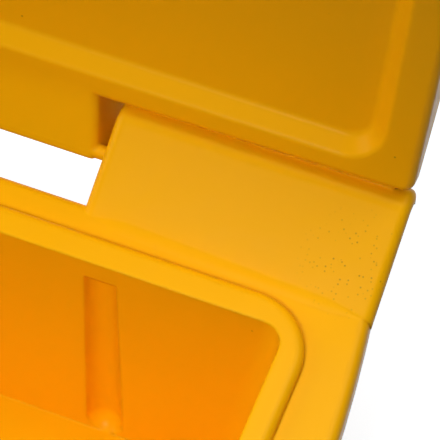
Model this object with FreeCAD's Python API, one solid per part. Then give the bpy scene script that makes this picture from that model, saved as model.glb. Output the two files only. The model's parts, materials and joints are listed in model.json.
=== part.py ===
import FreeCAD, Part
import math
import os
from FreeCAD import Vector

os.makedirs("parts", exist_ok=True)

# Street grit bin: a moulded tub with a raised lip, two hinge ears at the rear corners,
# a hollow lid whose rear tongue turns on one long rod between the ears, and a hasp in front.
# +Z is up, +Y is the rear, the origin is on the ground under the middle of the lip's outline.
# The lid is written closed and then turned open, because the bin is kept open.

# Driving dimensions, mm
rim_height = 369.0
lip_half_width = 443.0
lip_half_depth = 253.0
lip_side_width = 28.0
lip_end_width = 34.0
lip_height = 14.0
lip_corner = 70.0
opening_corner = 24.0
wall = 7.0
wall_draft = 3.5
floor_corner = 62.0

flange_rear = 40.5
flange_side = 40.0
flange_front = 45.0
flange_side_bow = 24.0
flange_front_bow = 6.0
flange_thickness = 7.0
flange_edge_radius = 12.0
flange_corner = 52.0
skirt_height = 34.0

fork_channel_width = 170.0
fork_channel_height = 50.0
fork_channel_offset = 175.0
channel_flare = 14.0
floor_thickness = 7.0

rib_radius = 21.0
rib_depth = 16.0
rib_bottom_gap = 1.0
rib_top_gap = 14.0
rib_thinning = 1.5
rear_rib_pitch = 214.0
side_rib_offset = 105.0

ear_inner = 168.0
ear_overhang = 46.0
ear_crease_inner = 24.0
ear_crease_outer = 12.0
ear_crest_back = 125.4
ear_crest_lift = 29.5
ear_crest_radius = 28.0
ear_skin = 12.0
corbel_step = 1.0
crease_blend_radius = 36.0
crease_blend_end = 4.0
crease_blend_fade = 46.0
crease_blend_dip = 4.0
crease_blend_depth = 4.0
corbel_setback = 53.0
ear_drop = 132.0
ear_wall = 8.0
ear_inner_radius = 11.0
ear_outer_radius = 10.0
ear_draft = 2.5
ear_rear_corner = 18.0
shoulder_front = 240.0
shoulder_bend = 267.0
shoulder_rear = 290.0
shoulder_width = 15.0
shoulder_sink = 0.3

axis_behind_lip = 98.45
axis_above_rim = 5.5
open_angle = 108.0
rod_radius = 4.0
rod_fit = 0.05
bush_wall = 3.0
bush_flange_radius = 13.0
bush_flange_thickness = 3.0
bush_press_gap = 0.02
bush_setback = 1.8
washer_thickness = 2.0
washer_radius = 12.0
cap_radius = 10.0
cap_length = 9.0
cap_wall = 1.6

notch_reach = 68.5
notch_slant = 5.0
stop_gap = 0.4
stop_ledge_depth = 38.0
stop_ledge_inner_gap = 12.0
stop_ledge_outer_gap = 22.0

lid_above_axis = 2.0
lid_rear_edge = 28.0
lid_front_edge = 46.0
lid_wall = 3.5
lid_overhang = 8.0
lid_side_overhang = 4.0
lid_side_bow = 3.0
lid_front_bow = 6.0
lid_corner = 54.0
lid_rear_corner = 12.5
lid_bottom_radius = 8.0
lid_top_radius = 12.0
lid_crown = 37.5
recess_depth = 17.0
recess_wall_run = 17.0
recess_side_clearance = 7.0
recess_end_clearance = 5.0
recess_corner = 44.0
recess_radius = 7.0
tongue_height = 56.0
tongue_side_gap = 11.0
tongue_taper = 0.15
tongue_draft = 0.17
tongue_rear_radius = 20.0
tongue_front = 100.0
tongue_bend_reach = 62.0
tongue_bend_radius = 160.0
tongue_foot_rise = 1.2
tongue_foot_radius = 4.0
tongue_side_radius = 8.0
knuckle_wall = 4.0
knuckle_end_gap = 1.6

hasp_width = 44.0
hasp_sheet = 2.5
hasp_plate_width = 84.0
hasp_plate_height = 20.0
hasp_strap_length = 88.0
hasp_strap_neck = 15.0
hasp_strap_gap = 1.0
hasp_knuckle_radius = 4.5
hasp_knuckle_gap = 0.4
hasp_pin_radius = 2.5
hasp_pin_fit = 0.08
hasp_slot_height = 10.0
hasp_slot_length = 25.0
staple_wire = 3.0
staple_rise = 19.0
staple_gauge = 13.0
staple_plate_height = 22.0
bolt_spacing = 64.0
bolt_radius = 3.0
bolt_head_radius = 6.5
bolt_head_height = 3.4
bolt_fit = 0.1
nut_radius = 5.8
nut_height = 5.0
nut_gap = 0.1
hasp_washer_radius = 8.0
hasp_washer_thickness = 1.5
rivet_radius = 2.4
vent_radius = 4.0
vent_place = 300.0

axis_y = lip_half_depth + axis_behind_lip
axis_z = rim_height + axis_above_rim
inner_half_width = lip_half_width - lip_side_width
inner_half_depth = lip_half_depth - lip_end_width
lip_top = rim_height + lip_height
lid_under = axis_z + lid_above_axis
tongue_top = lid_under + tongue_height
knuckle_radius = rod_radius + knuckle_wall
ear_outer = lip_half_width + ear_overhang
ear_width = ear_outer - ear_inner
corbel_outer = ear_outer - corbel_setback
tongue_half_width = ear_inner - tongue_side_gap
channel_skin_top = fork_channel_height + floor_thickness
draft_slope = math.tan(math.radians(wall_draft))
skirt_face = -lip_half_depth - flange_front - flange_front_bow
lid_face = -lip_half_depth - flange_front - lid_overhang - lid_front_bow
hasp_bolt_z = rim_height - skirt_height + hasp_plate_height / 2 + 1
hasp_axis_z = rim_height - skirt_height - hasp_knuckle_radius
hasp_axis_y = lid_face - hasp_sheet - hasp_strap_gap - hasp_sheet / 2
staple_z = lid_under + (lid_front_edge + lid_bottom_radius - lid_top_radius) / 2
crest = (lip_half_depth + ear_crest_back, rim_height + ear_crest_lift)
notch_y = axis_y - notch_reach
X_AXIS = Vector(1, 0, 0)
Y_AXIS = Vector(0, 1, 0)


def rounded_rectangle(half_x, y_low, y_high, radius, z):
    """Closed wire: a rectangle with arc corners, level at height z."""
    k = radius * (1 - math.sqrt(0.5))
    x0, x1 = -half_x, half_x
    edges = []
    corners = (
        ((x1, y_high - radius), (x1 - k, y_high - k), (x1 - radius, y_high)),
        ((x0 + radius, y_high), (x0 + k, y_high - k), (x0, y_high - radius)),
        ((x0, y_low + radius), (x0 + k, y_low + k), (x0 + radius, y_low)),
        ((x1 - radius, y_low), (x1 - k, y_low + k), (x1, y_low + radius)),
    )
    for i, (a, m, b) in enumerate(corners):
        va, vm, vb = [Vector(p[0], p[1], z) for p in (a, m, b)]
        edges.append(Part.Arc(va, vm, vb).toShape())
        nxt = corners[(i + 1) % 4][0]
        edges.append(Part.LineSegment(vb, Vector(nxt[0], nxt[1], z)).toShape())
    return Part.Wire(edges)


def tapered_block(low, high):
    """Solid between two level rounded rectangles, each (half_x, y_low, y_high, radius, z)."""
    return Part.makeLoft([rounded_rectangle(*low), rounded_rectangle(*high)], True, True)


def bowed_outline(half_x, y_front, y_rear, side_bow, front_bow, z):
    """Closed wire with bowed sides and front, a straight rear and sharp corners."""
    mid_y = (y_front + y_rear) / 2
    rr, rl = Vector(half_x, y_rear, z), Vector(-half_x, y_rear, z)
    fr, fl = Vector(half_x, y_front, z), Vector(-half_x, y_front, z)
    right = Part.Arc(rr, Vector(half_x + side_bow, mid_y, z), fr).toShape()
    front = Part.Arc(fr, Vector(0, y_front - front_bow, z), fl).toShape()
    left = Part.Arc(fl, Vector(-half_x - side_bow, mid_y, z), rl).toShape()
    rear = Part.LineSegment(rl, rr).toShape()
    return Part.Wire([right, front, left, rear])


def upright_edges(shape, y_test):
    """Vertical edges of a straight block whose Y place passes the test."""
    found = []
    for edge in shape.Edges:
        if len(edge.Vertexes) != 2:
            continue
        a, b = [v.Point for v in edge.Vertexes]
        if math.hypot(a.x - b.x, a.y - b.y) < 1e-6 and y_test(a.y):
            found.append(edge)
    return found


def level_edges(shape, z, tol=1e-4):
    """Edges that lie wholly at height z."""
    found = []
    for edge in shape.Edges:
        box = edge.BoundBox
        if abs(box.ZMin - z) < tol and abs(box.ZMax - z) < tol:
            found.append(edge)
    return found


def profile_prism(points, x_low, x_high):
    """Prism along X from YZ points; a point given as ('arc', mid, end) bends the outline."""
    edges = []
    start = Vector(x_low, points[0][0], points[0][1])
    here = start
    for item in points[1:]:
        if item[0] == "arc":
            mid = Vector(x_low, item[1][0], item[1][1])
            end = Vector(x_low, item[2][0], item[2][1])
            edges.append(Part.Arc(here, mid, end).toShape())
        else:
            end = Vector(x_low, item[0], item[1])
            edges.append(Part.LineSegment(here, end).toShape())
        here = end
    if (here - start).Length > 1e-6:
        edges.append(Part.LineSegment(here, start).toShape())
    return Part.Face(Part.Wire(edges)).extrude(Vector(x_high - x_low, 0, 0))


def x_cylinder(radius, x_low, x_high, y, z):
    return Part.makeCylinder(radius, x_high - x_low, Vector(x_low, y, z), X_AXIS)


def edges_along_x(shape, y, z):
    """Straight edges along X that pass through the YZ place."""
    found = []
    for edge in shape.Edges:
        b = edge.BoundBox
        if max(abs(b.YMin - y), abs(b.YMax - y), abs(b.ZMin - z), abs(b.ZMax - z)) < 1e-3:
            found.append(edge)
    return found


def mirrored(shape):
    return shape.mirror(Vector(0, 0, 0), X_AXIS)


def both_sides(shape):
    """The shape and its mirror image about the middle of the bin."""
    return [shape, mirrored(shape)]


def box(x0, x1, y0, y1, z0, z1):
    return Part.makeBox(x1 - x0, y1 - y0, z1 - z0, Vector(x0, y0, z0))


# Tub

def wall_section(z, offset, corner):
    """Rounded rectangle of the drafted wall at height z, moved out by offset."""
    inset = (lip_top - z) * draft_slope
    hx = inner_half_width - inset + offset
    hy = inner_half_depth - inset + offset
    return (hx, -hy, hy, corner + offset, z)


def make_wall_block(offset, z_low, z_high):
    top_corner = opening_corner
    return tapered_block(wall_section(z_low, offset, floor_corner), wall_section(z_high, offset, top_corner))


def make_fork_channel(side, grow, z_top):
    """Prism of a fork channel, from front to rear, with sloping sides."""
    centre = side * fork_channel_offset
    half = fork_channel_width / 2 + grow
    reach = lip_half_depth
    low = half + channel_flare
    pts = [(centre - low, -1), (centre - half, z_top), (centre + half, z_top), (centre + low, -1)]
    wire = Part.makePolygon([Vector(x, -reach, z) for x, z in pts + pts[:1]])
    return Part.Face(wire).extrude(Vector(0, 2 * reach, 0))


def make_wall_rib(grow, x, y, nx, ny):
    """Upright half-round rib that swells out of the wall; nx, ny is the wall's outward direction."""
    z_top = rim_height - rib_top_gap
    z_low = channel_skin_top + rib_bottom_gap + rib_radius
    r_top = rib_radius * 0.9 + grow
    r_low = rib_radius * 1.06 + grow
    back = rib_radius - rib_depth
    lean = (z_top - z_low) * draft_slope
    axis = Vector(nx * lean, ny * lean, z_top - z_low)
    inset = (lip_top - z_low) * draft_slope
    foot = Vector(x - nx * (inset + back), y - ny * (inset + back), z_low)
    cone = Part.makeCone(r_low, r_top, axis.Length, foot, axis)
    return cone.fuse(Part.makeSphere(r_low, foot))


def rib_places():
    places = []
    for x in (-rear_rib_pitch, 0.0, rear_rib_pitch):
        places.append((x, inner_half_depth, 0, 1))
        places.append((x, -inner_half_depth, 0, -1))
    for y in (-side_rib_offset, side_rib_offset):
        places.append((inner_half_width, y, 1, 0))
        places.append((-inner_half_width, y, -1, 0))
    return places


def make_flange():
    """Rim plate with a turned-down skirt, bowed at the sides and the front."""
    half_x = lip_half_width + flange_side
    y_front = -lip_half_depth - flange_front
    y_rear = lip_half_depth + flange_rear
    z_low = rim_height - skirt_height
    args = (half_x, y_front, y_rear, flange_side_bow, flange_front_bow, z_low)
    block = Part.Face(bowed_outline(*args)).extrude(Vector(0, 0, skirt_height))
    block = block.makeFillet(flange_corner, upright_edges(block, lambda y: y < 0))
    block = block.makeFillet(flange_edge_radius, level_edges(block, rim_height))
    t = flange_thickness
    inner_args = (half_x - t, y_front + t, y_rear - t, flange_side_bow, flange_front_bow, z_low - 1)
    under = Part.Face(bowed_outline(*inner_args)).extrude(Vector(0, 0, skirt_height - t + 1))
    under = under.makeFillet(flange_corner - t, upright_edges(under, lambda y: y < 0))
    return block.cut(under)


def make_lip():
    """Raised bead round the opening, rounded on its outer and inner top edges."""
    outer = (lip_half_width, -lip_half_depth, lip_half_depth, lip_corner, rim_height - 2)
    ring = Part.Face(rounded_rectangle(*outer)).extrude(Vector(0, 0, lip_height + 2))
    ring = ring.makeFillet(lip_height * 0.72, level_edges(ring, lip_top))
    return ring


def ear_ramp(crease_back):
    """Side profile of the ear's top for a crease that far behind the lip.

    Gives the crease, the point where the ramp meets the crest's circle, and the ramp's angle.
    """
    crease = (lip_half_depth + crease_back, rim_height)
    dy, dz = crest[0] - crease[0], crest[1] - crease[1]
    angle = math.atan2(dz, dy) + math.asin(ear_crest_radius / math.hypot(dy, dz))
    end = on_circle(crest, ear_crest_radius, 90 + math.degrees(angle))
    return crease, end, angle


def on_circle(centre, radius, degrees):
    a = math.radians(degrees)
    return (centre[0] + radius * math.cos(a), centre[1] + radius * math.sin(a))


def ear_wing_profile(crease_back, x):
    """Closed YZ wire of the ear's smooth top skin at one place across the ear."""
    crease, end, angle = ear_ramp(crease_back)
    normal = 90 + math.degrees(angle)
    r_out, r_in = ear_crest_radius, ear_crest_radius - ear_skin
    start = (crease[0] - flange_thickness / math.tan(angle), crease[1] - flange_thickness)
    low = (start[0], start[1] - ear_skin / math.cos(angle))

    def at(p):
        return Vector(x, p[0], p[1])

    outer = [on_circle(crest, r_out, d) for d in (normal, normal / 2, 0)]
    inner = [on_circle(crest, r_in, d) for d in (0, normal / 2, normal)]
    return Part.Wire([
        Part.LineSegment(at(start), at(outer[0])).toShape(),
        Part.Arc(*[at(p) for p in outer]).toShape(),
        Part.LineSegment(at(outer[2]), at(inner[0])).toShape(),
        Part.Arc(*[at(p) for p in inner]).toShape(),
        Part.LineSegment(at(inner[2]), at(low)).toShape(),
        Part.LineSegment(at(low), at(start)).toShape(),
    ])


def make_ear_wing():
    """The ear's top: a ramp from a slanting crease up to a rounded crest, with a turned-down edge."""
    profiles = [
        ear_wing_profile(ear_crease_inner, ear_inner - 1),
        ear_wing_profile(ear_crease_outer, ear_outer + 5),
    ]
    return Part.makeLoft(profiles, True, True)


def crease_place(x):
    """How far behind the lip the crease lies at a place across the ear."""
    across = (x - ear_inner + 1) / (ear_width + 6)
    return ear_crease_inner + (ear_crease_outer - ear_crease_inner) * across


def crease_blend_profile(x, radius):
    """Closed YZ wire that rounds the hollow between the rim and the ramp at one place."""
    crease, end, angle = ear_ramp(crease_place(x))
    centre = (crease[0] - radius * math.tan(angle / 2), crease[1] + radius)
    dip = math.radians(crease_blend_dip)
    bend = []
    for turn in (dip, angle / 2, angle - dip):
        bend.append(Vector(x, *on_circle(centre, radius, 270 + math.degrees(turn))))
    low = [bend[2] - Vector(0, 0, crease_blend_depth), bend[0] - Vector(0, 0, crease_blend_depth)]
    edges = [Part.Arc(*bend).toShape()]
    for a, b in ((bend[2], low[0]), (low[0], low[1]), (low[1], bend[0])):
        edges.append(Part.LineSegment(a, b).toShape())
    return Part.Wire(edges)


def make_crease_blend():
    """The soft hollow along the crease, which fades out towards both sides of the ear."""
    stations = (
        (ear_inner + ear_inner_radius, crease_blend_end),
        (ear_inner + crease_blend_fade, crease_blend_radius),
        (ear_outer - crease_blend_fade, crease_blend_radius),
        (ear_outer - ear_outer_radius, crease_blend_end),
    )
    return Part.makeLoft([crease_blend_profile(x, r) for x, r in stations], True, True)


def make_ear_corbel(inset):
    """The bracket under the ear, down to the rear wall; inset makes the hollow inside it."""
    crease, end, angle = ear_ramp(ear_crease_inner)
    normal = 90 + math.degrees(angle)
    sink = max(inset, corbel_step)
    r = ear_crest_radius - sink
    low_z = rim_height - ear_skin - inset
    rise = crease[1] - sink * math.cos(angle) - low_z
    start = (crease[0] + sink * math.sin(angle) - rise / math.tan(angle), low_z)
    wall_y = inner_half_depth - 2 * wall
    z_low = rim_height - ear_drop - (inset and 2 * ear_drop)
    rear_low = axis_z - 2.2 * knuckle_radius - (inset and 60)
    pts = [
        (wall_y, low_z),
        start,
        on_circle(crest, r, normal),
        ("arc", on_circle(crest, r, normal / 2), on_circle(crest, r, 0)),
        (crest[0] + r, rear_low),
        (wall_y, z_low),
    ]
    low = ear_inner + inset if inset else ear_inner - 20
    return profile_prism(pts, low, corbel_outer - inset)


def open_plane_point(distance, along):
    """YZ point on the lid's end face when open: distance from the axis, then along the face."""
    a = math.radians(180 - open_angle)
    u = (math.cos(a), math.sin(a))
    return (axis_y + distance * u[0] + along * u[1], axis_z + distance * u[1] - along * u[0])


def notch_distance(x):
    """Distance from the hinge axis to the lid's end face at a place across the ear."""
    return notch_reach + notch_slant * ((x - ear_inner) / ear_width - 0.5)


def make_stop_ledge():
    """Ledge behind the crest whose top lies against the lid's end face when the lid is open."""
    x0 = ear_inner + stop_ledge_inner_gap
    x1 = ear_outer - stop_ledge_outer_gap
    d = min(notch_distance(x0), notch_distance(x1)) - stop_gap
    front_y = crest[0] + ear_crest_radius * 0.3
    slope = math.tan(math.radians(open_angle - 90))
    p0 = open_plane_point(d, 0)
    z_front = p0[1] - (front_y - p0[0]) * slope
    rear_y = front_y + stop_ledge_depth
    z_rear = p0[1] - (rear_y - p0[0]) * slope
    pts = [
        (front_y, crest[1]),
        (front_y, z_front),
        (rear_y, z_rear),
        (rear_y, axis_z - knuckle_radius),
        (crest[0] + ear_crest_radius - 1, axis_z - 2 * knuckle_radius),
        (crest[0], axis_z - 2 * knuckle_radius),
    ]
    ledge = profile_prism(pts, x0, x1)
    return ledge.makeFillet(6.0, edges_along_x(ledge, rear_y, z_rear))


def side_wedge(x_rim, slope, x_far):
    """Block that trims an ear's side along a leaning plane through x_rim at the rim's height."""
    z0, z1 = rim_height - 2 * ear_drop, rim_height + ear_drop
    x0, x1 = [x_rim + (z - rim_height) * slope for z in (z0, z1)]
    pts = [(x_far, z0), (x0, z0), (x1, z1), (x_far, z1)]
    wire = Part.makePolygon([Vector(x, 0, z) for x, z in pts + pts[:1]])
    return Part.Face(wire).extrude(Vector(0, 2 * axis_y, 0))


def trim_ear_sides(shape, step):
    """The shape cut along the ear's drafted inner side, moved in by step, and its upright outer side."""
    shape = shape.cut(side_wedge(ear_inner + step, math.tan(math.radians(ear_draft)), ear_inner - 60))
    return shape.cut(side_wedge(ear_outer, 0.0, ear_outer + 60))


def make_ear():
    """One hinge ear, on the +X side, with its two long top edges rounded."""
    wing = trim_ear_sides(make_ear_wing(), 0.0)
    wing = wing.makeFillet(ear_inner_radius, wing_edges(wing, lambda b: b.XMax < ear_inner + 15))
    wing = wing.makeFillet(ear_outer_radius, wing_edges(wing, lambda b: b.XMin > ear_outer - 15))
    wing = round_rear_corner(wing)
    front = Part.makeBox(ear_outer, shoulder_bend - 2, rim_height, Vector(ear_outer - shoulder_width, 0, 0))
    wing = wing.cut(front)
    corbel = trim_ear_sides(make_ear_corbel(0.0), corbel_step)
    low_z = rim_height - ear_skin - 0.01
    edges = []
    for edge in corbel.Edges:
        b = edge.BoundBox
        if b.XMax < ear_inner + 15 and b.ZMin > low_z and b.ZLength > 5:
            edges.append(edge)
    corbel = corbel.makeFillet(ear_inner_radius - corbel_step, edges)
    return wing.fuse([corbel, make_stop_ledge()]).cut(make_ear_corbel(ear_wall))


def round_rear_corner(wing):
    """The ear's top with its outer rear corner rounded in plan."""
    rear = crest[0] + ear_crest_radius
    r = ear_rear_corner
    base = Vector(ear_outer - r, rear - r, rim_height - r)
    corner = Part.makeBox(2 * r, 2 * r, 2 * ear_drop, base)
    return wing.cut(corner.cut(Part.makeCylinder(r, 2 * ear_drop, base)))


def shoulder_profile(x_out, y):
    """Closed XZ wire of the rim's rounded edge where it runs into the ear's outer side."""
    r = flange_edge_radius
    x_in, z_low = x_out - shoulder_width, rim_height - skirt_height
    turn = []
    for angle in (0, math.pi / 4, math.pi / 2):
        turn.append(Vector(x_out - r + r * math.cos(angle), y, rim_height - r + r * math.sin(angle)))
    low = [Vector(x_out, y, z_low), Vector(x_in, y, z_low), Vector(x_in, y, rim_height)]
    edges = [Part.Arc(*turn).toShape()]
    for a, b in zip([turn[2], low[2], low[1], low[0]], [low[2], low[1], low[0], turn[0]]):
        edges.append(Part.LineSegment(a, b).toShape())
    return Part.Wire(edges)


def make_shoulder():
    """The stretch of rim edge that widens into the ear's outer side."""
    middle = (flange_rear - flange_front) / 2
    half = lip_half_depth + (flange_rear + flange_front) / 2
    bow = flange_side_bow * (1 - ((shoulder_front - middle) / half) ** 2)
    wide = lip_half_width + flange_side + bow - shoulder_sink
    stations = ((wide, shoulder_front), (ear_outer, shoulder_bend), (ear_outer, shoulder_rear))
    return Part.makeLoft([shoulder_profile(x, y) for x, y in stations], True, True)


def wing_edges(shape, x_test):
    """Edges of the ramp and the crest roll along one side of the ear's top skin."""
    found = []
    for edge in shape.Edges:
        b = edge.BoundBox
        if not x_test(b) or b.YLength < 1:
            continue
        mid = edge.valueAt((edge.FirstParameter + edge.LastParameter) / 2)
        on_roll = abs(math.hypot(mid.y - crest[0], mid.z - crest[1]) - ear_crest_radius) < 0.5
        crease, end, angle = ear_ramp(crease_place(mid.x))
        off = -(mid.y - crease[0]) * math.sin(angle) + (mid.z - crease[1]) * math.cos(angle)
        if (on_roll and mid.z > crest[1]) or (abs(off) < 0.8 and mid.y < end[0]):
            found.append(edge)
    return found


def bush_faces():
    """The face that the flange of each bush lies on, in the ear's inner and outer side walls."""
    return {"inner": ear_inner + ear_wall, "outer": corbel_outer}


def make_tub():
    tub = make_wall_block(wall, 0.0, rim_height - 1).fuse([make_flange(), make_lip()])
    tub = tub.fuse([make_wall_rib(wall - rib_thinning, *p) for p in rib_places()])
    skirt_y = lip_half_depth + flange_rear
    skirt_z = rim_height - flange_thickness
    gap_x = (ear_inner + ear_wall, corbel_outer - ear_wall)
    gap = box(*gap_x, skirt_y - flange_thickness - 1, skirt_y + 1, 0, skirt_z)
    tub = tub.cut(both_sides(gap)).fuse(both_sides(make_ear()))
    tub = tub.fuse(both_sides(make_crease_blend()))
    tub = tub.fuse(both_sides(make_shoulder()))
    cavity = make_wall_block(0.0, floor_thickness, lip_top + 1)
    cavity = cavity.fuse([make_wall_rib(0.0, *p) for p in rib_places()])
    for side in (-1, 1):
        cavity = cavity.cut(make_fork_channel(side, floor_thickness, channel_skin_top))
    tub = tub.cut(cavity)
    for side in (-1, 1):
        tub = tub.cut(make_fork_channel(side, 0.0, fork_channel_height))
    bore_radius = rod_radius + rod_fit + bush_wall + bush_press_gap
    for face in bush_faces().values():
        bore = x_cylinder(bore_radius, face - ear_wall - 3, face + 3, axis_y, axis_z)
        tub = tub.cut(both_sides(bore))
    for x in (-bolt_spacing / 2, bolt_spacing / 2):
        hole = Part.makeCylinder(bolt_radius + bolt_fit, 40, Vector(x, skirt_face - 20, hasp_bolt_z), Y_AXIS)
        tub = tub.cut(hole)
    return tub.removeSplitter()


# Lid, written closed

def lid_outline_block(inset, z_low, z_high):
    """Lid plan with bowed sides and slanting notches beside the tongue, moved in by inset."""
    half_x = lip_half_width + flange_side + lid_side_overhang - inset
    y_front = -lip_half_depth - flange_front - lid_overhang + inset
    y_rear = axis_y - notch_distance(ear_inner) - inset
    outline = bowed_outline(half_x, y_front, y_rear, lid_side_bow, lid_front_bow, z_low)
    block = Part.Face(outline).extrude(Vector(0, 0, z_high - z_low))
    far = half_x + lid_side_bow + 20
    far_y = axis_y - notch_distance(far) - inset
    trim = [(0, y_rear), (ear_inner, y_rear), (far, far_y), (far, y_rear + 30), (0, y_rear + 30)]
    wire = Part.makePolygon([Vector(x, y, z_low - 1) for x, y in trim + trim[:1]])
    wedge = Part.Face(wire).extrude(Vector(0, 0, z_high - z_low + 2))
    block = block.cut(both_sides(wedge)).removeSplitter()
    block = block.makeFillet(lid_corner - inset, upright_edges(block, lambda y: y < 0))
    rear = [e for e in upright_edges(block, lambda y: y > 0) if abs(e.Vertexes[0].X) > half_x - 5]
    return block.makeFillet(lid_rear_corner - min(inset, 2), rear)


def leaning_block(x, y, z, normal):
    """Large block whose flat face passes through a point, on the side that the normal points to."""
    size = 900.0
    block = Part.makeBox(size, size, size, Vector(-size / 2, -size / 2, 0))
    block.Placement = FreeCAD.Placement(Vector(x, y, z), FreeCAD.Rotation(Vector(0, 0, 1), normal))
    return block


def make_tongue(inset):
    """Rear tongue of the lid: a thick block that leans forward to a foot round the rod."""
    low = lid_under + inset
    top = tongue_top - inset
    rear = axis_y + knuckle_radius - inset
    foot = axis_z - knuckle_radius - tongue_foot_rise
    if inset:
        pts = [
            (tongue_front, low),
            (axis_y - knuckle_radius - inset, low),
            (axis_y - knuckle_radius - inset, axis_z + knuckle_radius),
            (rear, axis_z + knuckle_radius),
            (rear, top),
            (tongue_front, top),
        ]
        bend = []
    else:
        bend_y = axis_y - tongue_bend_reach
        pts = [(tongue_front, low), (bend_y, low), (rear, foot), (rear, top), (tongue_front, top)]
        bend = [(bend_y, low, tongue_bend_radius)]
    tongue = profile_prism(pts, -ear_outer, ear_outer)
    for y, z, radius in bend[:1] + [(rear, top, tongue_rear_radius - inset)]:
        tongue = tongue.makeFillet(radius, edges_along_x(tongue, y, z))
    for side in (-1, 1):
        normal = Vector(side, -tongue_taper, -tongue_draft)
        cutter = leaning_block(side * (tongue_half_width - inset), axis_y, lid_under, normal)
        tongue = tongue.cut(cutter)
    if not inset:
        tongue = tongue.makeFillet(tongue_side_radius, tongue_side_edges(tongue, foot))
        tongue = tongue.makeFillet(tongue_foot_radius, edges_along_x(tongue, rear, foot))
    return tongue


def tongue_side_edges(tongue, foot):
    """Edges between the tongue's underside and its two sides."""
    found = []
    for edge in tongue.Edges:
        b = edge.BoundBox
        if b.XLength < 50 and b.YLength > 2 and b.ZMin > foot - 1 and b.ZMax < lid_under + 0.5:
            found.append(edge)
    return found


def crown_cylinder(drop):
    """Long cylinder whose top gives the lid its fore and aft crown, lowered by drop."""
    y0 = -lip_half_depth - flange_front - lid_overhang
    p0 = Vector(0, y0, lid_under + lid_front_edge)
    p1 = Vector(0, notch_y, lid_under + lid_rear_edge)
    half = (p1 - p0).Length / 2
    along = (p1 - p0).normalize()
    radius = (half * half + lid_crown * lid_crown) / (2 * lid_crown)
    centre = (p0 + p1) * 0.5 + Vector(0, -along.z, along.y) * (lid_crown - radius)
    return x_cylinder(radius - drop, -700, 700, centre.y, centre.z)


def lid_hull(inset):
    """Outside of the lid, with all its edges rounded; inset gives the hollow inside it."""
    z_low = lid_under + inset
    block = lid_outline_block(inset, z_low, lid_under + lid_front_edge + lid_crown + 20)
    block = block.makeFillet(lid_bottom_radius - inset, level_edges(block, z_low))
    block = block.common(crown_cylinder(inset)).removeSplitter()
    top = [e for e in block.Edges if e.BoundBox.ZMin > lid_under + lid_rear_edge - inset - 6]
    block = block.makeFillet(lid_top_radius - inset, top)
    return block.fuse(make_tongue(inset)).removeSplitter()


def recess_block(grow):
    """The shallow pan in the lid's underside, with sloping sides."""
    half_x = lip_half_width + recess_side_clearance + grow
    half_y = lip_half_depth + recess_end_clearance + grow
    slope = recess_wall_run / recess_depth
    low_z, high_z = lid_under - 1, lid_under + recess_depth + grow
    run = (high_z - low_z) * slope
    low = (half_x + slope, -half_y - slope, half_y + slope, recess_corner + grow + slope, low_z)
    inner = recess_corner + grow + slope - run
    high = (half_x + slope - run, -half_y - slope + run, half_y + slope - run, inner, high_z)
    pan = tapered_block(low, high)
    return pan.makeFillet(recess_radius, level_edges(pan, high_z))


def make_lid():
    lid = lid_hull(0.0)
    lid = lid.cut(recess_block(0.0))
    pan_y = lip_half_depth + recess_end_clearance
    rim = [e for e in level_edges(lid, lid_under) if e.BoundBox.YMax < pan_y + 1]
    lid = lid.makeFillet(recess_radius, rim)
    hollow = lid_hull(lid_wall).cut(recess_block(lid_wall))
    lid = lid.cut(hollow)
    end = ear_inner - knuckle_end_gap
    lid = lid.fuse(x_cylinder(knuckle_radius, -end, end, axis_y, axis_z))
    lid = lid.cut(x_cylinder(rod_radius + rod_fit, -end - 1, end + 1, axis_y, axis_z))
    for x in (-vent_place, vent_place):
        middle = Vector(x, notch_y - 20, lid_under + lid_rear_edge / 2)
        lid = lid.cut(Part.makeCylinder(vent_radius, 40, middle, Y_AXIS))
    for x in (-bolt_spacing / 2, bolt_spacing / 2):
        start = Vector(x, lid_face - 20, staple_z)
        lid = lid.cut(Part.makeCylinder(rivet_radius + bolt_fit, 40, start, Y_AXIS))
    return lid.removeSplitter()


# Hinge pieces

def make_rod():
    half = corbel_outer + bush_flange_thickness + washer_thickness + cap_length - cap_wall
    rod = x_cylinder(rod_radius, -half, half, axis_y, axis_z)
    return rod.makeChamfer(1.0, [e for e in rod.Edges if isinstance(e.Curve, Part.Circle)])


def make_bush(face):
    """Flanged sleeve pressed into one side wall of the ear, with its flange on the given face."""
    bore = rod_radius + rod_fit
    sleeve = x_cylinder(bore + bush_wall, face - ear_wall + bush_setback, face, axis_y, axis_z)
    flange = x_cylinder(bush_flange_radius, face, face + bush_flange_thickness, axis_y, axis_z)
    hole = x_cylinder(bore, face - 20, face + 20, axis_y, axis_z)
    return sleeve.fuse(flange).cut(hole).removeSplitter()


def make_ring(radius, x_low, x_high):
    ring = x_cylinder(radius, x_low, x_high, axis_y, axis_z)
    return ring.cut(x_cylinder(rod_radius + rod_fit, x_low - 1, x_high + 1, axis_y, axis_z))


def make_rod_cap(x_low):
    """Push-on dome cap over the end of the rod."""
    cap = x_cylinder(cap_radius, x_low, x_low + cap_length, axis_y, axis_z)
    edge = [e for e in cap.Edges if isinstance(e.Curve, Part.Circle) and e.BoundBox.XMin > x_low + 1]
    cap = cap.makeFillet(cap_length * 0.45, edge)
    return cap.cut(x_cylinder(rod_radius, x_low - 1, x_low + cap_length - cap_wall, axis_y, axis_z))


# Hasp and staple

def y_bolt(x, z, head_y, shank_length, radius, head_radius, head_height):
    """Round-head fastener whose shank points to the rear, +Y, from the face at head_y."""
    head = Part.makeCylinder(head_radius, head_height, Vector(x, head_y, z), Vector(0, -1, 0))
    face_y = head_y - head_height + 0.1
    rim = [e for e in head.Edges if isinstance(e.Curve, Part.Circle) and e.BoundBox.YMax < face_y]
    head = head.makeFillet(head_height * 0.7, rim)
    return head.fuse(Part.makeCylinder(radius, shank_length, Vector(x, head_y, z), Y_AXIS))


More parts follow.
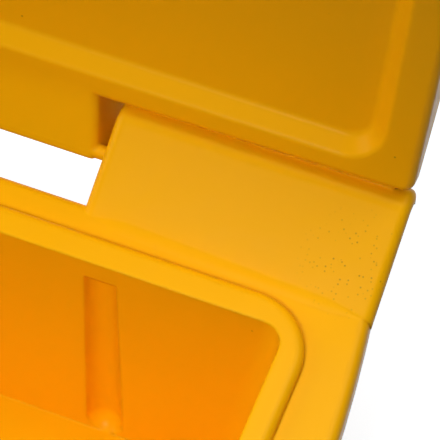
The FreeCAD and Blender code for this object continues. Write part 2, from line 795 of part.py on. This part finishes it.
def make_nut(x, y, z, radius, height):
    pts = []
    for i in range(7):
        a = math.radians(60 * i)
        pts.append(Vector(x + radius * math.cos(a), y, z + radius * math.sin(a)))
    nut = Part.Face(Part.makePolygon(pts)).extrude(Vector(0, height, 0))
    return nut.cut(Part.makeCylinder(bolt_radius + bolt_fit, height + 2, Vector(x, y - 1, z), Y_AXIS))


def make_washer(x, y, z):
    disc = Part.makeCylinder(hasp_washer_radius, hasp_washer_thickness, Vector(x, y, z), Y_AXIS)
    return disc.cut(Part.makeCylinder(bolt_radius + bolt_fit, 20, Vector(x, y - 5, z), Y_AXIS))


def make_hasp_plate():
    """Fixed leaf on the tub's skirt, with two knuckles."""
    half = hasp_plate_width / 2
    y0, y1 = skirt_face - hasp_sheet, skirt_face
    plate = box(-half, half, y0, y1, hasp_bolt_z - hasp_plate_height / 2, hasp_bolt_z + hasp_plate_height / 2)
    corner = [e for e in plate.Edges if abs(e.BoundBox.YMax - e.BoundBox.YMin - hasp_sheet) < 1e-3]
    plate = plate.makeFillet(4.0, corner)
    inner, outer = hasp_strap_neck / 2 + hasp_knuckle_gap, hasp_width / 2
    z_edge = hasp_bolt_z - hasp_plate_height / 2
    reach = hasp_knuckle_radius * 0.9
    arm_pts = [
        (y1, z_edge + 1),
        (y1, z_edge - 1.5),
        (hasp_axis_y, hasp_axis_z - reach),
        (hasp_axis_y, hasp_axis_z + reach),
        (y0, z_edge + 1),
    ]
    for side in (-1, 1):
        x0, x1 = sorted((side * inner, side * outer))
        arm = profile_prism(arm_pts, x0, x1)
        plate = plate.fuse([arm, x_cylinder(hasp_knuckle_radius, x0, x1, hasp_axis_y, hasp_axis_z)])
    pin_bore = hasp_pin_radius + hasp_pin_fit
    plate = plate.cut(x_cylinder(pin_bore, -outer - 1, outer + 1, hasp_axis_y, hasp_axis_z))
    for x in (-bolt_spacing / 2, bolt_spacing / 2):
        start = Vector(x, y0 - 5, hasp_bolt_z)
        plate = plate.cut(Part.makeCylinder(bolt_radius + bolt_fit, 20, start, Y_AXIS))
    return plate.removeSplitter()


def make_hasp_strap():
    """Swinging leaf with a slot for the staple, hanging straight down from its pin."""
    neck = hasp_strap_neck / 2
    half = hasp_width / 2
    y0 = hasp_axis_y - hasp_sheet / 2
    z_top = hasp_axis_z - hasp_knuckle_radius * 1.8
    z_low = hasp_axis_z - hasp_strap_length
    leaf = box(-half, half, y0, y0 + hasp_sheet, z_low, z_top)
    corners = [e for e in level_edges(leaf, z_low, 1e-3) if e.BoundBox.XLength < 1]
    leaf = leaf.makeFillet(9.0, corners)
    web = box(-neck, neck, y0, y0 + hasp_sheet, z_top - 1, hasp_axis_z)
    knuckle = x_cylinder(hasp_knuckle_radius, -neck, neck, hasp_axis_y, hasp_axis_z)
    strap = leaf.fuse([web, knuckle])
    pin_bore = hasp_pin_radius + hasp_pin_fit
    strap = strap.cut(x_cylinder(pin_bore, -neck - 1, neck + 1, hasp_axis_y, hasp_axis_z))
    slot_z = hasp_axis_z - (staple_z - hasp_axis_z)
    end = hasp_slot_height / 2
    reach = hasp_slot_length / 2 - end
    slot = box(-reach, reach, y0 - 1, y0 + hasp_sheet + 1, slot_z - end, slot_z + end)
    for x in (-reach, reach):
        slot = slot.fuse(Part.makeCylinder(end, hasp_sheet + 2, Vector(x, y0 - 1, slot_z), Y_AXIS))
    return strap.cut(slot).removeSplitter()


def make_staple():
    """Plate on the lid's front with a round-wire loop for a padlock."""
    half = hasp_plate_width / 2
    y0, y1 = lid_face - hasp_sheet, lid_face
    plate = box(-half, half, y0, y1, staple_z - staple_plate_height / 2, staple_z + staple_plate_height / 2)
    corner = [e for e in plate.Edges if abs(e.BoundBox.YMax - e.BoundBox.YMin - hasp_sheet) < 1e-3]
    plate = plate.makeFillet(4.0, corner)
    for x in (-bolt_spacing / 2, bolt_spacing / 2):
        plate = plate.cut(Part.makeCylinder(rivet_radius + bolt_fit, 20, Vector(x, y0 - 5, staple_z), Y_AXIS))
    bend = staple_gauge / 2
    tip = y0 - staple_rise + bend
    left_foot, left_tip = Vector(-bend, y0 + 1, staple_z), Vector(-bend, tip, staple_z)
    right_foot, right_tip = Vector(bend, y0 + 1, staple_z), Vector(bend, tip, staple_z)
    loop = [
        Part.LineSegment(left_foot, left_tip).toShape(),
        Part.Arc(left_tip, Vector(0, tip - bend, staple_z), right_tip).toShape(),
        Part.LineSegment(right_tip, right_foot).toShape(),
    ]
    section = Part.Wire(Part.Circle(Vector(-bend, y0 + 1, staple_z), Y_AXIS, staple_wire).toShape())
    return plate.fuse(Part.Wire(loop).makePipeShell([section], True, False)).removeSplitter()


def opened(shape):
    """The shape turned with the lid from closed to open."""
    turned = shape.copy()
    turned.rotate(Vector(0, axis_y, axis_z), X_AXIS, -open_angle)
    return turned


def export(name, shape):
    shape.exportStep("parts/%s.step" % name)
    print(name, "valid", shape.isValid(), "solids", len(shape.Solids), "cm3 %.1f" % (shape.Volume / 1000))


def main():
    export("tub", make_tub())
    export("lid", opened(make_lid()))
    export("hinge_rod", make_rod())
    for place, face in bush_faces().items():
        right = make_bush(face)
        export("%s_bush_right" % place, right)
        export("%s_bush_left" % place, mirrored(right))
    washer_x = corbel_outer + bush_flange_thickness
    pieces = {
        "rod_washer": make_ring(washer_radius, washer_x, washer_x + washer_thickness),
        "rod_cap": make_rod_cap(washer_x + washer_thickness),
    }
    for name, piece in pieces.items():
        export(name + "_right", piece)
        export(name + "_left", mirrored(piece))
    export("hasp_plate", make_hasp_plate())
    export("hasp_strap", make_hasp_strap())
    half = hasp_width / 2 + 1.5
    export("hasp_pin", x_cylinder(hasp_pin_radius, -half, half, hasp_axis_y, hasp_axis_z))
    places = (-bolt_spacing / 2, bolt_spacing / 2)
    head_y = skirt_face - hasp_sheet
    shank = hasp_sheet + flange_thickness + hasp_washer_thickness + nut_height + 3
    head = (bolt_head_radius, bolt_head_height)
    bolts = [y_bolt(x, hasp_bolt_z, head_y, shank, bolt_radius, *head) for x in places]
    export("hasp_bolts", Part.makeCompound(bolts))
    washer_y = skirt_face + flange_thickness + nut_gap
    nut_y = washer_y + hasp_washer_thickness
    export("hasp_washers", Part.makeCompound([make_washer(x, washer_y, hasp_bolt_z) for x in places]))
    nuts = [make_nut(x, nut_y, hasp_bolt_z, nut_radius, nut_height) for x in places]
    export("hasp_nuts", Part.makeCompound(nuts))
    export("staple", opened(make_staple()))
    shank = hasp_sheet + lid_wall + 4
    head_y = lid_face - hasp_sheet
    rivets = [y_bolt(x, staple_z, head_y, shank, rivet_radius, bolt_head_radius - 1, 2.0) for x in places]
    export("staple_rivets", opened(Part.makeCompound(rivets)))


main()
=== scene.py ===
# %% [markdown]
# # A glossy yellow grit bin, seen close at its rear hinge corner
# A street grit bin is two big plastic mouldings that turn on a steel rod. Its solids come from the
# packed model and stay where they are. This script gives each of them its finish, then sets up the
# floor, the lights and the camera. It models no piece of its own, because the solids already have
# the forms that the photograph shows.

# %% Load the frame
import bpy
import bmesh
import json
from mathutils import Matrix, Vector

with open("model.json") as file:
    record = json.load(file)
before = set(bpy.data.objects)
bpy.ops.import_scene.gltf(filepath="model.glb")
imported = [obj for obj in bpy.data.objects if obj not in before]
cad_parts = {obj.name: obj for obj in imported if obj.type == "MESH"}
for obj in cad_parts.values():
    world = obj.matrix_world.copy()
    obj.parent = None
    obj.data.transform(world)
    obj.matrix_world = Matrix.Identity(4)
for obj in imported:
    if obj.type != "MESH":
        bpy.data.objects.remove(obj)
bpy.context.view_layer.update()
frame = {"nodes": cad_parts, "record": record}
nodes = frame["nodes"]
scene = bpy.context.scene

# %% [markdown]
# A material is a small graph of nodes. Writing each link by hand hides what the graph means, so one
# class wraps a socket and lets Python's own operators add the Math nodes. With the reflected forms,
# a plain number may also stand on the left, as in 1 - mask.

# %% A socket that does arithmetic
class Socket:
    """A value in a shader graph; arithmetic on it adds Math nodes."""

    def __init__(self, graph, socket):
        self.graph, self.socket = graph, socket

    def maths(self, operation, *values):
        return self.graph.node("ShaderNodeMath", {"operation": operation}, *values)[0]

    def __add__(self, other): return self.maths("ADD", self, other)
    def __radd__(self, other): return self.maths("ADD", other, self)
    def __sub__(self, other): return self.maths("SUBTRACT", self, other)
    def __rsub__(self, other): return self.maths("SUBTRACT", other, self)
    def __mul__(self, other): return self.maths("MULTIPLY", self, other)
    def __rmul__(self, other): return self.maths("MULTIPLY", other, self)
    def __truediv__(self, other): return self.maths("DIVIDE", self, other)
    def __rtruediv__(self, other): return self.maths("DIVIDE", other, self)
    def below(self, limit): return self.maths("LESS_THAN", self, limit)
    def clamp(self): return self.maths("MAXIMUM", self.maths("MINIMUM", self, 1.0), 0.0)


print("operators", [name for name in vars(Socket) if name.startswith("__r")])

# %% [markdown]
# Every other kind of node comes from one method, which sets the node's settings first and then its
# sockets, by order or by name. Its helpers are the few nodes that all the finishes share. Colours
# go through a Mix node, because a Math node would turn them grey.
#
# Textures read object coordinates. Here these are metres in the bin's own frame, so a scale of 7
# means seven clouds to a metre on every piece, and no piece needs unwrapping.

# %% A graph that grows by calls
class Graph:
    """The node graph of one new material."""

    def __init__(self, name):
        self.material = bpy.data.materials.new(name)
        self.material.use_nodes = True
        self.tree = self.material.node_tree
        self.tree.nodes.clear()

    def fill(self, made, pairs):
        """Links or sets a new node's inputs; one that is given None keeps its default."""
        for key, value in pairs:
            if isinstance(value, Socket):
                self.tree.links.new(value.socket, made.inputs[key])
            elif value is not None:
                made.inputs[key].default_value = value

    def node(self, kind, settings=None, *values, **named):
        """Adds a node; values fill its inputs in order, named ones by name. Gives its outputs."""
        made = self.tree.nodes.new(kind)
        for key, value in (settings or {}).items():
            setattr(made, key, value)
        self.fill(made, enumerate(values))
        self.fill(made, [(key.replace("_", " "), value) for key, value in named.items()])
        return [Socket(self, output) for output in made.outputs]

    def mix(self, factor, first, second):
        """Mixes two colours by factor. A Mix node's sockets repeat their names, so they go by number."""
        made = self.tree.nodes.new("ShaderNodeMix")
        made.data_type = "RGBA"
        opaque = [value if isinstance(value, Socket) else (*value, 1) for value in (first, second)]
        self.fill(made, zip((0, 6, 7), (factor, *opaque)))
        return Socket(self, made.outputs[2])

    def place(self):
        """Object coordinates, which are metres in the bin's frame."""
        return self.node("ShaderNodeTexCoord")[3]

    def noise(self, scale, detail):
        return self.node("ShaderNodeTexNoise", None, Vector=self.place(), Scale=scale, Detail=detail)[0]

    def bump(self, height, strength, distance, normal=None):
        sockets = {"Strength": strength, "Distance": distance, "Height": height, "Normal": normal}
        return self.node("ShaderNodeBump", None, **sockets)[0]

    def surface(self, **sockets):
        """Ends the graph in a Principled shader with these sockets set."""
        shader = self.node("ShaderNodeBsdfPrincipled", None, **sockets)[0]
        self.node("ShaderNodeOutputMaterial", None, Surface=shader)
        return self.material


print("helpers", [name for name in vars(Graph) if not name.startswith("_")])

# %% [markdown]
# Rotationally moulded polyethylene is dyed right through, so its colour hardly changes, but its
# skin has small faults. Where air or dirt met the powder there is a pinhole or a dark speck. They
# could be scattered as tiny meshes, but that is many pieces for marks of a millimetre. A Voronoi
# texture splits space in cells instead, and gives each a random colour and a distance from its
# middle. The colour picks a few of the cells, and the distance draws a round dot in each of them.

# %% Specks
def specks(graph, cells_to_a_metre, share, radius):
    """1 at the middle of sparse round dots, in the share of the cells that a random number picks."""
    distance, colour = graph.node(
        "ShaderNodeTexVoronoi", None, Vector=graph.place(), Scale=cells_to_a_metre
    )[:2]
    chance = graph.node("ShaderNodeSeparateColor", None, colour)[0]
    dot = (1 - distance / radius).clamp()
    return dot * chance.below(share)


stray_specks = {"cells_to_a_metre": 95.0, "share": 0.012, "radius": 0.15}
crowded_pits = {"cells_to_a_metre": 230.0, "share": 0.4, "radius": 0.32}
print("stray specks", stray_specks, "crowded pits", crowded_pits)

# %% [markdown]
# On the real bin the pits crowd together at one place, on the outer end of the right hinge ear.
# The distance to that spot fades a finer layer of dots in and out.

# %% The pitted place on the ear
pitted_spot = (0.452, 0.303, 0.405)
pitted_fade = 0.04
pitted_reach = 1.6


def pits(graph):
    """The finer dots, at full strength near the spot and gone past pitted_reach * pitted_fade."""
    measure = {"operation": "DISTANCE"}
    to_spot = graph.node("ShaderNodeVectorMath", measure, graph.place(), pitted_spot)[1]
    return specks(graph, **crowded_pits) * (pitted_reach - to_spot / pitted_fade).clamp()


print("pits end", pitted_reach * pitted_fade, "m from", pitted_spot)

# %% [markdown]
# The plastic itself is a deep, glossy yellow. A slow cloud of noise moves its colour and gloss a
# little. A faint ripple from the mould and an orange-peel grain go into one height, from which the
# dots are sunk, and a Bump node tilts the light by it.
#
# The powder can't fill a sharp edge, so every edge of the real moulding is soft. Bevelled geometry
# is the usual way, and the larger radii are in the solids. A Bevel node softens the rest: it
# blends the normals near an edge as they are shaded, and costs no faces.

# %% Yellow plastic
deep_yellow = (0.93, 0.435, 0.0015)
light_yellow = (0.97, 0.462, 0.002)
speck_brown = (0.20, 0.085, 0.01)
speck_strength = 0.75
edge_softness = 0.005
cloud_scale, ripple_scale, peel_scale = 7.0, 38.0, 420.0
peel_height, speck_depth = 0.06, 0.35
skin_strength, skin_depth = 0.25, 0.0012


def yellow_plastic():
    graph = Graph("yellow_plastic")
    soft = graph.node("ShaderNodeBevel", {"samples": 6}, Radius=edge_softness)[0]
    cloud = graph.noise(cloud_scale, detail=3.0)
    dots = (specks(graph, **stray_specks) + pits(graph)).clamp()
    clean = graph.mix(cloud, deep_yellow, light_yellow)
    ripple = graph.noise(ripple_scale, detail=1.0)
    peel = graph.noise(peel_scale, detail=2.0)
    height = ripple + peel * peel_height - dots * speck_depth
    return graph.surface(
        Base_Color=graph.mix(dots * speck_strength, clean, speck_brown),
        Roughness=0.27 + cloud * 0.08,
        Specular_IOR_Level=0.055,
        Normal=graph.bump(height, skin_strength, skin_depth, soft),
    )


print("yellow from", deep_yellow, "to", light_yellow)

# %% [markdown]
# The rod, its washers and caps, the hasp and the staple are zinc-plated steel. Zinc is a metal, so
# its colour is the colour of its reflections, and its spangle shows as patches of slightly
# different brightness and gloss. One noise drives all three of colour, roughness and bump.

# %% Zinc-plated steel
dull_zinc, bright_zinc = (0.42, 0.43, 0.44), (0.62, 0.62, 0.61)
spangle_scale = 60.0


def zinc_steel():
    graph = Graph("zinc_steel")
    spangle = graph.noise(spangle_scale, detail=3.0)
    return graph.surface(
        Base_Color=graph.mix(spangle, dull_zinc, bright_zinc),
        Metallic=1.0,
        Roughness=0.32 + spangle * 0.2,
        Normal=graph.bump(spangle, strength=0.2, distance=0.0003),
    )


print("zinc from", dull_zinc, "to", bright_zinc)

# %% [markdown]
# The bushes in the ears are black nylon, satin with a fine grain. They are small and mostly
# hidden, so two near blacks and a fine bump are enough.

# %% Black nylon
nylon_black, nylon_grey = (0.012, 0.012, 0.013), (0.03, 0.03, 0.03)
grain_scale = 1500.0


def black_nylon():
    graph = Graph("black_nylon")
    grain = graph.noise(grain_scale, detail=2.0)
    return graph.surface(
        Base_Color=graph.mix(grain, nylon_black, nylon_grey),
        Roughness=0.42,
        Normal=graph.bump(grain, strength=0.3, distance=0.0002),
    )


print("nylon from", nylon_black, "to", nylon_grey)

# %% [markdown]
# The record says which material each node has. So the finishes are made once, kept by the
# record's own names, and handed out in one loop that can't miss a node.

# %% Give every node its finish
finishes = {"yellow_plastic": yellow_plastic(), "zinc_steel": zinc_steel(), "black_nylon": black_nylon()}
for entry in frame["record"]["subparts"]:
    mesh = nodes[entry["node"]].data
    mesh.materials.clear()
    mesh.materials.append(finishes[entry["material_slot"]])

# %% [markdown]
# The photograph has a plain white ground. The floor is one pale square that glows a little, so
# that it stays white to the camera. A white floor would also throw white light up on the bin, where
# the photograph has only the deep orange that yellow walls give to each other. So the floor
# takes no part in the soft light that bounces between surfaces.

# %% Floor
floor_width = 14.0
floor_drop = 0.0005
floor_grey, floor_white = (0.86, 0.86, 0.86), (0.90, 0.90, 0.90)
floor_glow = 0.7


def flat_square(name, width, height):
    mesh = bpy.data.meshes.new(name)
    shape = bmesh.new()
    bmesh.ops.create_grid(shape, x_segments=1, y_segments=1, size=width / 2)
    bmesh.ops.translate(shape, verts=shape.verts, vec=(0, 0, height))
    shape.to_mesh(mesh)
    shape.free()
    made = bpy.data.objects.new(name, mesh)
    scene.collection.objects.link(made)
    return made


def pale_floor():
    graph = Graph("pale_floor")
    return graph.surface(
        Base_Color=graph.mix(graph.noise(3.0, detail=2.0), floor_grey, floor_white),
        Roughness=0.9,
        Specular_IOR_Level=0.0,
        Emission_Color=(1, 1, 1, 1),
        Emission_Strength=floor_glow,
    )


floor = flat_square("floor", floor_width, -floor_drop)
floor.data.materials.append(pale_floor())
floor.visible_diffuse = False
print("floor", floor_width, "m wide")

# %% [markdown]
# The bin's corner is lit from above and behind, so that the rim, the ear and the inside are bright
# while the open lid's underside lies in warm shade. A lamp on the left lights that underside
# a little. Large soft boxes give soft edges to the shadows. A low lamp in front fills the
# inside, and its narrow spread, like a grid on a studio lamp, keeps it off the lid.

# %% Soft boxes
hinge_corner = (0.3, 0.25, 0.4)
opening = (0.2, -0.1, 0.3)
softbox = (1.4, 1.4)
large_softbox = (1.6, 1.6)
small_softbox = (0.9, 0.6)
grid_spread = 0.9


def turn_towards(made, direction):
    """Turns a lamp or a camera, which both look down their own -Z."""
    made.rotation_mode = "QUATERNION"
    made.rotation_quaternion = Vector(direction).to_track_quat("-Z", "Y")


def area_light(name, place, aim, size, watts):
    lamp = bpy.data.lights.new(name, "AREA")
    lamp.shape = "RECTANGLE"
    lamp.size, lamp.size_y = size
    lamp.energy = watts
    made = bpy.data.objects.new(name, lamp)
    made.location = place
    turn_towards(made, Vector(aim) - Vector(place))
    scene.collection.objects.link(made)
    return made


lamps = [
    area_light("overhead_softbox", (0.3, 1.2, 3.4), hinge_corner, softbox, 30),
    area_light("rear_right_softbox", (1.8, 1.8, 3.2), hinge_corner, softbox, 29),
    area_light("left_softbox", (-2.8, 0.0, 2.0), hinge_corner, large_softbox, 32),
    area_light("front_gridded_softbox", (0.2, -1.4, 2.4), opening, small_softbox, 4),
]
lamps[-1].data.spread = grid_spread
print("lamps", [lamp.name for lamp in lamps])

# %% [markdown]
# Beyond the floor's end a view from the side sees the world. It is pale there for the camera, and
# adds nothing to the light or the reflections on the bin. The Standard view keeps the yellow as
# strong as it is, where a filmic one would wash it out.

# %% World and view
sky_strength = 0.8
world = bpy.data.worlds.new("studio")
world.use_nodes = True
background = world.node_tree.nodes["Background"]
background.inputs["Color"].default_value = (1, 1, 1, 1)
background.inputs["Strength"].default_value = sky_strength
scene.world = world
world.cycles_visibility.diffuse = False
world.cycles_visibility.glossy = False
scene.view_settings.view_transform = "Standard"
print("world", sky_strength, "view", scene.view_settings.view_transform)

# %% [markdown]
# The photograph is a close crop, taken from high above the front right with a long lens, so
# parallel edges stay nearly parallel. The camera's place and direction were found by setting the
# edges of the lip, the ear and the lid against those in the photograph.

# %% Camera
camera_place = (0.8002, -0.9454, 2.5391)
camera_look = (-0.1939, 0.4948, -0.8471)
sensor_width = 36.0
long_lens = 204.5
nearest, farthest = 0.05, 60.0

view_camera = bpy.data.cameras.new("camera")
view_camera.sensor_width = sensor_width
view_camera.lens = long_lens
view_camera.clip_start, view_camera.clip_end = nearest, farthest
camera = bpy.data.objects.new("camera", view_camera)
camera.location = camera_place
turn_towards(camera, camera_look)
scene.collection.objects.link(camera)
scene.camera = camera
print("camera", camera_place, "lens", long_lens, "mm")

# %% [markdown]
# Nothing was added to the solids.
